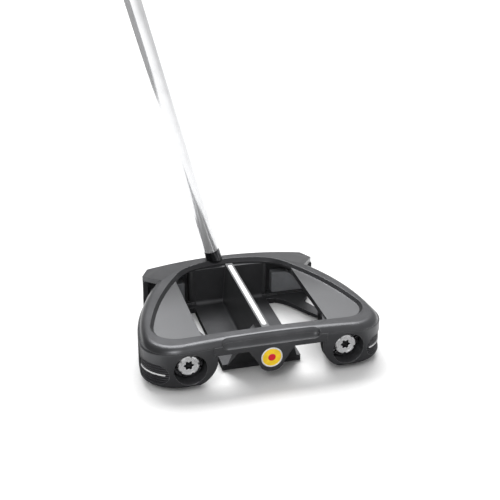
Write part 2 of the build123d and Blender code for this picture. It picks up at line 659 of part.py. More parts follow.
# Neck: a collar as thick as the shaft's tip, a root that is fixed in the block and a spigot inside the
# shaft.
with BuildPart() as neck:
    with BuildSketch(neck_plane(-NECK_FOOT)):
        Circle(NECK_RADIUS)
    extrude(amount=NECK_FOOT + NECK_HEIGHT)
    with BuildSketch(neck_plane(-NECK_FOOT)):
        Circle(NECK_FLARE_RADIUS)
    with BuildSketch(neck_plane(NECK_FLARE_HEIGHT)):
        Circle(NECK_RADIUS)
    loft()
    split(bisect_by=FACE, keep=Keep.BOTTOM)
    add(dome(0.0) & slope(0.0), mode=Mode.SUBTRACT)
    with BuildSketch(neck_plane(1.0)):
        Circle(NECK_ROOT_RADIUS)
    extrude(amount=-NECK_ROOT_DEPTH - 1.0)
    with BuildSketch(neck_plane(NECK_HEIGHT)):
        Circle(SPIGOT_RADIUS)
    extrude(amount=SPIGOT_LENGTH)
    add(crown_plate.part, mode=Mode.SUBTRACT)
    add(chassis.part, mode=Mode.SUBTRACT)
save(neck, "neck")

# Shaft, grip tape, grip and grip cap follow the neck's axis up to the club's full length.
ground_run = NECK_POINT[2] / math.cos(math.radians(LIE_LEAN))
cap_start = CLUB_LENGTH - ground_run - GRIP_CAP_LENGTH
grip_start = CLUB_LENGTH - ground_run - GRIP_LENGTH
tape_start = grip_start + TAPE_INSET
step_end = STEP_START + STEP_COUNT * STEP_SPACING

# Shaft: a thin tube, parallel at the tip, then widened in short steps to a parallel butt under the grip.
with BuildPart() as shaft:
    with BuildSketch(neck_plane(NECK_HEIGHT)):
        Circle(SHAFT_TIP_RADIUS)
    extrude(amount=cap_start - NECK_HEIGHT)
    for step in range(STEP_COUNT):
        wider = SHAFT_TIP_RADIUS + (SHAFT_BUTT_RADIUS - SHAFT_TIP_RADIUS) * (step + 1) / STEP_COUNT
        with BuildSketch(neck_plane(STEP_START + step * STEP_SPACING)):
            Circle(wider)
        extrude(amount=STEP_SPACING)
    with BuildSketch(neck_plane(step_end)):
        Circle(SHAFT_BUTT_RADIUS)
    extrude(amount=cap_start - step_end)
    with BuildSketch(neck_plane(NECK_HEIGHT)):
        Circle(SPIGOT_RADIUS)
    extrude(amount=STEP_START - NECK_HEIGHT, mode=Mode.SUBTRACT)
    with BuildSketch(neck_plane(STEP_START)):
        Circle(SPIGOT_RADIUS)
    with BuildSketch(neck_plane(step_end)):
        Circle(SHAFT_BUTT_RADIUS - SHAFT_WALL)
    loft(mode=Mode.SUBTRACT)
    with BuildSketch(neck_plane(step_end)):
        Circle(SHAFT_BUTT_RADIUS - SHAFT_WALL)
    extrude(amount=cap_start - step_end, mode=Mode.SUBTRACT)
save(shaft, "shaft")

with BuildPart() as grip_tape:
    with BuildSketch(neck_plane(tape_start)):
        Circle(SHAFT_BUTT_RADIUS + TAPE_THICKNESS)
        Circle(SHAFT_BUTT_RADIUS, mode=Mode.SUBTRACT)
    extrude(amount=cap_start - tape_start)
save(grip_tape, "grip_tape")


def grip_outline(front, back, half_flat):
    """Closed outline of the grip: a flat front towards +X and one round arc behind it."""
    Line((front, -half_flat), (front, half_flat))
    ThreePointArc((front, half_flat), (-back, 0), (front, -half_flat))


with BuildPart() as grip:
    with BuildSketch(neck_plane(grip_start)) as mouth:
        with BuildLine():
            grip_outline(*GRIP_MOUTH)
        make_face()
        fillet(mouth.vertices(), GRIP_CORNER)
    with BuildSketch(neck_plane(cap_start)) as butt:
        with BuildLine():
            grip_outline(*GRIP_BUTT)
        make_face()
        fillet(butt.vertices(), GRIP_CORNER)
    loft(ruled=True)
    with BuildSketch(neck_plane(grip_start)):
        Circle(SHAFT_BUTT_RADIUS)
    extrude(amount=TAPE_INSET, mode=Mode.SUBTRACT)
    with BuildSketch(neck_plane(tape_start)):
        Circle(SHAFT_BUTT_RADIUS + TAPE_THICKNESS)
    extrude(amount=cap_start - tape_start, mode=Mode.SUBTRACT)
save(grip, "grip")

with BuildPart() as grip_cap:
    with BuildSketch(neck_plane(cap_start)) as cap:
        with BuildLine():
            grip_outline(*GRIP_BUTT)
        make_face()
        fillet(cap.vertices(), GRIP_CORNER)
    extrude(amount=GRIP_CAP_LENGTH)
    cap_edges = grip_cap.faces().sort_by(Axis.Z)[-1].edges()
    fillet(cap_edges, GRIP_CAP_RADIUS)
    with BuildSketch(neck_plane(cap_start)):
        Circle(VENT_RADIUS)
    extrude(amount=GRIP_CAP_LENGTH, mode=Mode.SUBTRACT)
save(grip_cap, "grip_cap")
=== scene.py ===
"""Looks of a right-handed mallet putter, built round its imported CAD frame.

Every sub-assembly is a class with its sizes as fields. Lengths in the fields are millimetres and
are turned to metres as a mesh is placed. The frame's +X points to the toe, +Y to the target and +Z up.
"""

import logging
import math
from dataclasses import dataclass
from enum import Enum
from typing import Callable, Sequence

import bmesh
import bpy
from mathutils import Matrix, Vector

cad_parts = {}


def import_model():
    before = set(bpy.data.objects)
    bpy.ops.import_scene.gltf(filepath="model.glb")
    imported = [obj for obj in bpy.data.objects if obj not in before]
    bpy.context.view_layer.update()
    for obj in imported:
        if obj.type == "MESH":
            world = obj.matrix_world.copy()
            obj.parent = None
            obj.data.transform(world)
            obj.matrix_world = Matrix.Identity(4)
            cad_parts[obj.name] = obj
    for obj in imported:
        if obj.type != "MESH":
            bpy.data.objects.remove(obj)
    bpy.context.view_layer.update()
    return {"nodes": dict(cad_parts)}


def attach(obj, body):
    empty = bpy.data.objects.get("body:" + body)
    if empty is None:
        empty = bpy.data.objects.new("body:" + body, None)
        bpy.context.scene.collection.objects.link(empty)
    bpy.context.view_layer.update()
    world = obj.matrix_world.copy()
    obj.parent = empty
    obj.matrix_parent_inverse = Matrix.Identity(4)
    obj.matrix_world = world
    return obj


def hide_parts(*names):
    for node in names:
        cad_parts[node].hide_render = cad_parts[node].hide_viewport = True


logger = logging.getLogger("mallet_putter")

MM = 0.001
REARWARD = Matrix(((1, 0, 0, 0), (0, 0, -1, 0), (0, 1, 0, 0), (0, 0, 0, 1)))

# Points and faces are numbered along this oblique direction, so that every run numbers them alike.
NUMBERING = Vector((1.0, 0.7310, 0.4177))

Colour = tuple[float, float, float]
Numbers = Sequence[float]
Outline = Callable[[float], float]
Profile = float | Outline
Station = tuple[Profile, Profile]
Socket = bpy.types.NodeSocket
Material = bpy.types.Material
Piece = bpy.types.Object
Nodes = dict[str, Piece]


class Side(Enum):
    """The two ends of the head."""

    HEEL = -1
    TOE = 1

    @property
    def label(self) -> str:
        """Name of this side as the CAD nodes and bodies start with it."""
        return self.name.lower()


class Value:
    """A number socket of a material, with Python's operators for Math nodes."""

    def __init__(self, finish: "Shader", socket: Socket) -> None:
        """Wrap a socket.

        Args:
            finish: the shader whose tree the socket belongs to.
            socket: an output that holds one number.
        """
        self.finish = finish
        self.socket = socket

    def _math(self, operation: str, *terms: object) -> "Value":
        """Add one Math node.

        Args:
            operation: the node's operation.
            terms: its inputs in order, numbers or values.

        Returns:
            The node's output.
        """
        inputs = {index: term for index, term in enumerate(terms)}
        node = self.finish.node("ShaderNodeMath", {"operation": operation}, inputs)
        return Value(self.finish, node.outputs[0])

    def __add__(self, other: object) -> "Value":
        """This value plus another."""
        return self._math("ADD", self, other)

    __radd__ = __add__

    def __sub__(self, other: object) -> "Value":
        """This value less another."""
        return self._math("SUBTRACT", self, other)

    def __rsub__(self, other: object) -> "Value":
        """Another number less this value."""
        return self._math("SUBTRACT", other, self)

    def __mul__(self, other: object) -> "Value":
        """This value times another."""
        return self._math("MULTIPLY", self, other)

    __rmul__ = __mul__

    def __pow__(self, other: object) -> "Value":
        """This value to a power."""
        return self._math("POWER", self, other)

    def sine(self) -> "Value":
        """Sine of this value in radians."""
        return self._math("SINE", self)

    def absolute(self) -> "Value":
        """This value without its sign."""
        return self._math("ABSOLUTE", self)

    def between(self, low: float, high: float) -> "Value":
        """Smooth step over this value.

        Args:
            low: value that gives 0.
            high: value that gives 1.

        Returns:
            A mask from 0 to 1.
        """
        settings = {"interpolation_type": "SMOOTHSTEP"}
        node = self.finish.node("ShaderNodeMapRange", settings, {0: self, 1: low, 2: high})
        return Value(self.finish, node.outputs[0])


class Shader:
    """One material with a Principled shader, and the nodes that feed it."""

    def __init__(self, name: str) -> None:
        """Start an empty material.

        Args:
            name: the material's name.
        """
        self.material = bpy.data.materials.new(name)
        self.material.use_nodes = True
        self.tree = self.material.node_tree
        self.surface = self.tree.nodes["Principled BSDF"]

    def node(self, kind: str, settings: dict[str, object], inputs: dict[object, object]) -> bpy.types.Node:
        """Add any node.

        Args:
            kind: the node's type.
            settings: properties of the node, set before its sockets are.
            inputs: sockets by name or number, each given a value or a link.

        Returns:
            The new node.
        """
        node = self.tree.nodes.new(kind)
        for key, setting in settings.items():
            setattr(node, key, setting)
        for key, given in inputs.items():
            self.feed(node.inputs[key], given)
        return node

    def feed(self, socket: Socket, given: object) -> None:
        """Set or link one input socket.

        Args:
            socket: the input.
            given: a Value, a socket, a number or a colour.
        """
        if isinstance(given, Value):
            self.tree.links.new(given.socket, socket)
        elif isinstance(given, Socket):
            self.tree.links.new(given, socket)
        elif isinstance(given, tuple) and socket.type == "RGBA":
            socket.default_value = (*given, 1.0)
        else:
            socket.default_value = given

    def place(self, centre: Numbers = (0, 0, 0), turn: Numbers = (0, 0, 0)) -> Socket:
        """Object coordinates about a point, turned.

        Args:
            centre: the point that becomes zero, in metres.
            turn: rotation about X, Y and Z in radians.

        Returns:
            The vector.
        """
        coordinates = self.node("ShaderNodeTexCoord", {}, {})
        settings = {"vector_type": "TEXTURE"}
        inputs = {"Vector": coordinates.outputs["Object"], "Location": tuple(centre), "Rotation": tuple(turn)}
        return self.node("ShaderNodeMapping", settings, inputs).outputs[0]

    def axes(self, vector: Socket) -> tuple[Value, Value, Value]:
        """X, Y and Z of a vector, in metres."""
        node = self.node("ShaderNodeSeparateXYZ", {}, {0: vector})
        return tuple(Value(self, node.outputs[index]) for index in range(3))

    def noise(self, vector: Socket, size: float, detail: float = 3.0) -> Value:
        """Noise of a given grain.

        Args:
            vector: coordinates in metres.
            size: grain in millimetres.
            detail: octaves.

        Returns:
            A value about 0.5.
        """
        inputs = {"Vector": vector, "Scale": 1.0 / (size * MM), "Detail": detail, "Roughness": 0.55}
        return Value(self, self.node("ShaderNodeTexNoise", {}, inputs).outputs[0])

    def stretched(self, vector: Socket, stretch: Numbers) -> Socket:
        """A vector with its parts multiplied by stretch."""
        settings = {"operation": "MULTIPLY"}
        return self.node("ShaderNodeVectorMath", settings, {0: vector, 1: tuple(stretch)}).outputs[0]

    def blend(self, mask: object, first: object, second: object) -> Socket:
        """Mix two colours.

        Args:
            mask: 0 for the first, 1 for the second.
            first: a colour or a socket.
            second: a colour or a socket.

        Returns:
            The mixed colour.
        """
        node = self.node("ShaderNodeMix", {"data_type": "RGBA"}, {0: mask, 6: first, 7: second})
        return node.outputs[2]

    def rounded_normal(self, radius: float) -> Socket:
        """Normal that softens each edge over a radius in millimetres."""
        return self.node("ShaderNodeBevel", {"samples": 6}, {"Radius": radius * MM}).outputs[0]

    def edge_mask(self, radius: float) -> Value:
        """Mask that is 1 along the edges of a piece.

        Args:
            radius: how far from an edge it reaches, in millimetres.

        Returns:
            A mask from 0 to 1.
        """
        plain = self.node("ShaderNodeNewGeometry", {}, {}).outputs["Normal"]
        inputs = {0: self.rounded_normal(radius), 1: plain}
        dot = self.node("ShaderNodeVectorMath", {"operation": "DOT_PRODUCT"}, inputs)
        return (1.0 - Value(self, dot.outputs["Value"])).between(0.02, 0.22)

    def relief(self, height: Value, depth: float, radius: float = 0.0) -> None:
        """Bump the surface.

        Args:
            height: relief from 0 to 1.
            depth: what 1 stands for, in millimetres.
            radius: rounding of the piece's edges in millimetres, or 0 for none.
        """
        inputs = {"Height": height, "Distance": depth * MM, "Strength": 1.0}
        if radius:
            inputs["Normal"] = self.rounded_normal(radius)
        bump = self.node("ShaderNodeBump", {}, inputs)
        self.feed(self.surface.inputs["Normal"], bump.outputs[0])

    def set(self, **sockets: object) -> None:
        """Feed the Principled shader's sockets, with _ in a name for each space."""
        for name, given in sockets.items():
            self.feed(self.surface.inputs[name.replace("_", " ")], given)


def scaled(colour: Colour, factor: float) -> Colour:
    """A colour made lighter or darker by a factor, with no part above 1."""
    return tuple(min(1.0, factor * part) for part in colour)


@dataclass(frozen=True)
class SatinAnodised:
    """Black anodised aluminium with a fine bead-blasted grain and brighter edges."""

    name: str
    colour: Colour
    edge: Colour = (0.34, 0.345, 0.355)
    roughness: float = 0.36
    grain: float = 0.22
    rounding: float = 0.30
    metallic: float = 0.7
    # Width, height and colour of a painted highlight, a lighter band along the rib's top.
    rib_highlight_width: float = 0.0
    rib_highlight_height: float = 27.9
    rib_highlight_colour: Colour = (0.15, 0.152, 0.157)
    web: Colour | None = None
    web_drop: float = 1.8
    bevel_colour: Colour = (0.012, 0.012, 0.014)
    crown_top: float = 29.6
    crown_radius: float = 700.0
    middle_y: float = -5.0

    def build(self) -> Material:
        """Make the material, with a painted highlight along the rib's top where it has a width, and the webs'
        colour with its painted shade.
        """
        shader = Shader(self.name)
        place = shader.place()
        grain = shader.noise(place, self.grain, 4.0)
        cloud = shader.noise(place, 17.0, 2.0)
        smear = shader.noise(shader.stretched(place, (1.0, 0.25, 1.0)), 4.0, 3.0)
        edge = shader.edge_mask(self.rounding)
        darker = scaled(self.colour, 0.90)
        lighter = scaled(self.colour, 1.10)
        body = shader.blend(cloud.between(0.35, 0.65), darker, lighter)
        if self.web:
            body = self._webs(shader, place, body)
        worn = edge * (0.45 + 0.55 * smear.between(0.35, 0.6))
        # Painted highlight: the rib's top is coloured lighter, where light falls on it.
        if self.rib_highlight_width:
            x, _, z = shader.axes(place)
            across = (self.rib_highlight_width / 2 * MM - x.absolute()).between(0.0, 0.2 * MM)
            high = z.between((self.rib_highlight_height - 0.15) * MM, self.rib_highlight_height * MM)
            body = shader.blend(across * high, body, self.rib_highlight_colour)
        shader.set(Base_Color=shader.blend(worn, body, self.edge))
        shader.set(Roughness=self.roughness - 0.03 + 0.06 * grain + 0.05 * smear - 0.08 * worn)
        shader.set(Metallic=self.metallic, Coat_Weight=0.10, Coat_Roughness=0.25)
        shader.relief(grain, 0.012, self.rounding)
        return shader.material

    def _webs(self, shader: Shader, place: Socket, body: Socket) -> Socket:
        """Colour the webs, which lie below the crown's top, with painted shade that darkens them towards the
        front, and the bevel round them.

        Args:
            shader: the material being made.
            place: object coordinates.
            body: colour of the rest of the crown.

        Returns:
            The colour with webs, their painted shade and bevel in it.
        """
        x, y, z = shader.axes(place)
        depth = (self.crown_top * MM - x * x * (0.5 / (self.crown_radius * MM))) - z
        normal = shader.axes(shader.node("ShaderNodeNewGeometry", {}, {}).outputs["Normal"])
        outward = normal[0] * x + normal[1] * (y - self.middle_y * MM)
        inward = (0.0 - outward).between(0.002, 0.010)
        tilted = normal[2].between(0.5, 0.6) * (1.0 - normal[2].between(0.85, 0.95))
        bevel = inward * depth.between(0.0, 0.25 * MM) * tilted
        body = shader.blend(bevel * 0.62, body, self.bevel_colour)
        below = depth.between((self.web_drop - 0.25) * MM, (self.web_drop - 0.1) * MM)
        above = 1.0 - depth.between((self.web_drop + 0.15) * MM, (self.web_drop + 0.3) * MM)
        web = below * above * normal[2].between(0.9, 0.97)
        # Painted shade: the webs darken towards the front, standing in for the shade on a dished surface.
        front = scaled(self.web, 0.55)
        web_painted_shade = shader.blend(y.between(-12.0 * MM, 26.0 * MM), self.web, front)
        return shader.blend(web, body, web_painted_shade)


@dataclass(frozen=True)
class Polished:
    """Polished or plated metal with faint haze and hairline scratches."""

    name: str
    colour: Colour
    roughness: float = 0.10
    scratch: Numbers = (1.0, 1.0, 0.02)
    turn: Numbers = (0.0, 0.0, 0.0)
    rounding: float = 0.0
    metallic: float = 1.0

    def build(self) -> Material:
        """Make the material."""
        shader = Shader(self.name)
        place = shader.place(turn=self.turn)
        haze = shader.noise(place, 9.0, 3.0)
        hair = shader.noise(shader.stretched(place, self.scratch), 0.25, 3.0)
        darker = scaled(self.colour, 0.93)
        shader.set(Base_Color=shader.blend(haze.between(0.4, 0.7), self.colour, darker))
        shader.set(Roughness=self.roughness + 0.05 * haze + 0.04 * hair, Metallic=self.metallic)
        shader.relief(hair, 0.0025, self.rounding)
        return shader.material


@dataclass(frozen=True)
class Turned:
    """Metal turned on a lathe, with rings round an axis along Y, its edges painted brighter as a painted
    highlight and its socket darkened as painted shade.
    """

    name: str
    colour: Colour
    centre: Numbers
    pitch: float = 0.22
    roughness: float = 0.2
    metallic: float = 1.0
    # Colour of a painted highlight along the edges.
    edge: Colour = (0.95, 0.95, 0.96)
    rounding: float = 0.15
    # Where the socket's painted shade lies and how dark it is.
    socket_shade_radius: float = 0.0
    socket_shade_y: float = 0.0
    socket_shade_colour: Colour = (0.015, 0.015, 0.016)

    def build(self) -> Material:
        """Make the material, with painted shade darkening a socket where the socket has a radius."""
        shader = Shader(self.name)
        place = shader.place(centre=[part * MM for part in self.centre])
        x, y, z = shader.axes(place)
        radius = (x * x + z * z) ** 0.5
        rings = 0.5 + 0.5 * (radius * (math.tau / (self.pitch * MM))).sine()
        stain = shader.noise(place, 2.5, 3.0)
        edge = shader.edge_mask(self.rounding)
        dull = scaled(self.colour, 0.8)
        body = shader.blend(stain.between(0.4, 0.7), self.colour, dull)
        # Painted highlight: the edges are coloured brighter, as if catching light.
        body = shader.blend(0.6 * edge, body, self.edge)
        # Painted shade: the deep part of the socket is darkened in colour.
        if self.socket_shade_radius:
            inside = (self.socket_shade_radius * MM - radius).between(0.0, 0.1 * MM)
            deep = y.between((self.socket_shade_y - 0.1) * MM, (self.socket_shade_y + 0.1) * MM)
            body = shader.blend(inside * deep, body, self.socket_shade_colour)
        shader.set(Base_Color=body)
        shader.set(Roughness=self.roughness + 0.08 * stain + 0.05 * rings, Metallic=self.metallic)
        shader.relief(rings, 0.004, self.rounding)
        return shader.material


@dataclass(frozen=True)
class Moulded:
    """Moulded polymer with a fine eroded texture."""

    name: str
    colour: Colour
    roughness: float = 0.5
    grain: float = 0.35
    depth: float = 0.02
    rounding: float = 0.25

    def build(self) -> Material:
        """Make the material."""
        shader = Shader(self.name)
        place = shader.place()
        grain = shader.noise(place, self.grain, 4.0)
        cloud = shader.noise(place, 8.0, 2.0)
        lighter = scaled(self.colour, 1.18)
        shader.set(Base_Color=shader.blend(cloud.between(0.35, 0.7), self.colour, lighter))
        shader.set(Roughness=self.roughness + 0.10 * grain + 0.06 * cloud)
        shader.relief(grain, self.depth, self.rounding)
        return shader.material


@dataclass(frozen=True)
class Ribbed:
    """Black polymer with level ridges across its face, their crests painted lighter as a painted highlight.
    """

    name: str
    colour: Colour
    pitch: float = 1.35

    def build(self) -> Material:
        """Make the material."""
        shader = Shader(self.name)
        place = shader.place()
        _, _, z = shader.axes(place)
        ridge = 0.5 + 0.5 * (z * (math.tau / (self.pitch * MM))).sine()
        grain = shader.noise(place, 0.3, 3.0)
        # Painted highlight: the ridges' crests are coloured lighter.
        lighter = scaled(self.colour, 2.2)
        shader.set(Base_Color=shader.blend(ridge.between(0.5, 1.0), self.colour, lighter))
        shader.set(Roughness=0.30 + 0.15 * grain)
        shader.relief(ridge + 0.05 * grain, 0.28, 0.15)
        return shader.material


@dataclass(frozen=True)
class Enamel:
    """Poured glossy enamel, slightly uneven in tone."""

    name: str
    colour: Colour

    def build(self) -> Material:
        """Make the material."""
        shader = Shader(self.name)
        place = shader.place()
        pool = shader.noise(place, 3.0, 2.0)
        speck = shader.noise(place, 0.2, 2.0)
        deeper = scaled(self.colour, 0.86)
        shader.set(Base_Color=shader.blend(pool.between(0.35, 0.7), self.colour, deeper))
        shader.set(Roughness=0.10 + 0.06 * speck, Coat_Weight=0.6, Coat_Roughness=0.05)
        shader.relief(pool, 0.02)
        return shader.material


@dataclass(frozen=True)
class GripRubber:
    """Black grip rubber with a diamond pattern in panels and a matt, dusty surface."""

    name: str
    lean: float
    foot: Numbers
    colour: Colour = (0.022, 0.022, 0.024)
    pitch: float = 3.2

    def build(self) -> Material:
        """Make the material."""
        shader = Shader(self.name)
        turn = (0.0, -math.radians(self.lean), 0.0)
        place = shader.place(centre=[part * MM for part in self.foot], turn=turn)
        _, y, z = shader.axes(place)
        wave = math.tau / (self.pitch * MM)
        cross = ((y + z) * wave).sine().absolute() * ((y - z) * wave).sine().absolute()
        diamonds = cross.between(0.04, 0.35)
        grain = shader.noise(place, 0.4, 4.0)
        dust = shader.noise(place, 12.0, 3.0)
        dusty = scaled(self.colour, 1.9)
        shader.set(Base_Color=shader.blend(dust.between(0.45, 0.75), self.colour, dusty))
        shader.set(Roughness=0.62 + 0.16 * grain + 0.05 * dust)
        shader.relief(0.85 * diamonds + 0.15 * grain, 0.30)
        return shader.material


@dataclass(frozen=True)
class StudioPaper:
    """Seamless white paper."""

    name: str = "studio_paper"
    colour: Colour = (0.91, 0.91, 0.91)
    fibre: Colour = (0.93, 0.93, 0.93)

    def build(self) -> Material:
        """Make the material."""
        shader = Shader(self.name)
        place = shader.place()
        fibre = shader.noise(place, 1.2, 3.0)
        shader.set(Base_Color=shader.blend(fibre.between(0.3, 0.7), self.colour, self.fibre))
        shader.set(Roughness=0.85 + 0.1 * fibre)
        return shader.material


def new_points(grown: Sequence[object]) -> list[bmesh.types.BMVert]:
    """The points among what an extrusion made."""
    return [item for item in grown if isinstance(item, bmesh.types.BMVert)]


@dataclass(frozen=True)
class Lathe:
    """Makes closed turned forms whose rings may swell or dip with the angle round them."""

    segments: int = 96

    def _set_ring(self, ring: list[bmesh.types.BMVert], station: Station) -> None:
        """Move a ring's points to a station.

        Args:
            ring: the ring's points, already at their angles.
            station: radius and height in millimetres, each a number or a function of the angle.
        """
        for point in ring:
            angle = math.atan2(point.co.y, point.co.x)
            radius = station[0](angle) if callable(station[0]) else station[0]
            height = station[1](angle) if callable(station[1]) else station[1]
            point.co = Vector((radius * math.cos(angle), radius * math.sin(angle), height))

    def form(self, name: str, stations: Sequence[Station], place: Matrix, hollow: bool = False) -> Piece:
        """Build one piece.

        Args:
            name: name of the piece.
            stations: rings from one end to the other; a hollow form closes from its last ring to its
                first, and any other form is level at both ends.
            place: puts the form, made about its own Z axis, into the frame; lengths still in millimetres.
            hollow: True for a form with a bore, False for one whose ends close on the axis.

        Returns:
            The piece, at the origin, with its place in its mesh.
        """
        mesh = bmesh.new()
        bmesh.ops.create_circle(mesh, segments=self.segments, radius=1.0)
        first = list(mesh.verts)
        self._set_ring(first, stations[0])
        start = list(mesh.edges)
        edges = start
        for station in stations[1:]:
            grown = bmesh.ops.extrude_edge_only(mesh, edges=edges)["geom"]
            ring = new_points(grown)
            ends = set(ring)
            sides = [item for item in grown if isinstance(item, bmesh.types.BMEdge)]
            edges = [edge for edge in sides if ends.issuperset(edge.verts)]
            self._set_ring(ring, station)
        if hollow:
            bmesh.ops.bridge_loops(mesh, edges=start + edges)
        else:
            for loop, station in ((start, stations[0]), (edges, stations[-1])):
                cap = bmesh.ops.extrude_edge_only(mesh, edges=loop)["geom"]
                bmesh.ops.pointmerge(mesh, verts=new_points(cap), merge_co=Vector((0.0, 0.0, station[1])))
        return finish_mesh(mesh, name, place)


def finish_mesh(mesh: bmesh.types.BMesh, name: str, place: Matrix, smooth_angle: float = 35.0) -> Piece:
    """Turn a bmesh in millimetres into a placed, smoothed object.

    Args:
        mesh: the mesh, which is freed.
        name: name of the object.
        place: transform into the frame, in millimetres.
        smooth_angle: edges sharper than this stay sharp, in degrees.

    Returns:
        The object, at the origin, with its place in its mesh.
    """
    bmesh.ops.remove_doubles(mesh, verts=mesh.verts, dist=1e-5)
    bmesh.ops.transform(mesh, matrix=Matrix.Scale(MM, 4) @ place, verts=mesh.verts)
    bmesh.ops.recalc_face_normals(mesh, faces=mesh.faces)
    mesh.verts.sort(key=lambda point: point.co.dot(NUMBERING))
    mesh.faces.sort(key=lambda face: face.calc_center_median().dot(NUMBERING))
    for edge in mesh.edges:
        if len(edge.link_faces) == 2:
            edge.smooth = edge.calc_face_angle(0.0) < math.radians(smooth_angle)
    for face in mesh.faces:
        face.smooth = True
    data = bpy.data.meshes.new(name)
    mesh.to_mesh(data)
    mesh.free()
    piece = bpy.data.objects.new(name, data)
    bpy.context.scene.collection.objects.link(piece)
    return piece


def dress(piece: Piece, material: Material) -> None:
    """Give a piece one material in place of whatever it has."""
    piece.data.materials.clear()
    piece.data.materials.append(material)


def plateau(angle: float, centre: float, half: float, soft: float) -> float:
    """1 within half of centre, falling to 0 over soft beyond it; angles in radians."""
    away = abs((angle - centre + math.pi) % math.tau - math.pi)
    step = min(1.0, max(0.0, (half + soft - away) / soft))
    return step * step * (3.0 - 2.0 * step)


@dataclass(frozen=True)
class Head:
    """Chassis, crown, insert, sight line, pads and screws: CAD nodes with their finishes."""

    def dress(self, nodes: Nodes) -> None:
        """Give each node of the head its finish.

        Args:
            nodes: the CAD nodes by name.
        """
        finishes = {
            "chassis": SatinAnodised("satin_black_body", (0.068, 0.069, 0.073), metallic=0.6, rib_highlight_width=4.6),
            "crown_plate": SatinAnodised("satin_black_crown", (0.082, 0.083, 0.088), roughness=0.31,
                                         web=(0.17, 0.172, 0.178)),
            "crown_screws": Polished("blackened_steel", (0.16, 0.16, 0.165), 0.28, rounding=0.1),
            "face_insert": Moulded("insert_polymer", (0.055, 0.056, 0.060), 0.42, 0.5, 0.03),
            "bond_pad": Moulded("bond_foam", (0.02, 0.02, 0.02), 0.8, 0.8, 0.1),
            "sight_line": Moulded("sight_white", (0.86, 0.87, 0.88), 0.30, 0.6, 0.005),
            "neck": Polished("black_oxide", (0.12, 0.122, 0.126), 0.24, rounding=0.2),
        }
        for side in Side:
            label = side.label
            pad = Moulded(f"{label}_pad_polymer", (0.16, 0.165, 0.175), 0.36, 0.8)
            ribbed = Ribbed(f"{label}_ribbed_black", (0.012, 0.012, 0.014))
            trim = Polished(f"{label}_bright_trim", (0.93, 0.93, 0.94), 0.16, metallic=0.35)
            finishes[f"{label}_block_pad"] = pad
            finishes[f"{label}_corner_weight"] = ribbed
            finishes[f"{label}_corner_trim"] = trim
        for name, finish in finishes.items():
            dress(nodes[name], finish.build())
            logger.info("dressed %s with %s", name, finish.name)


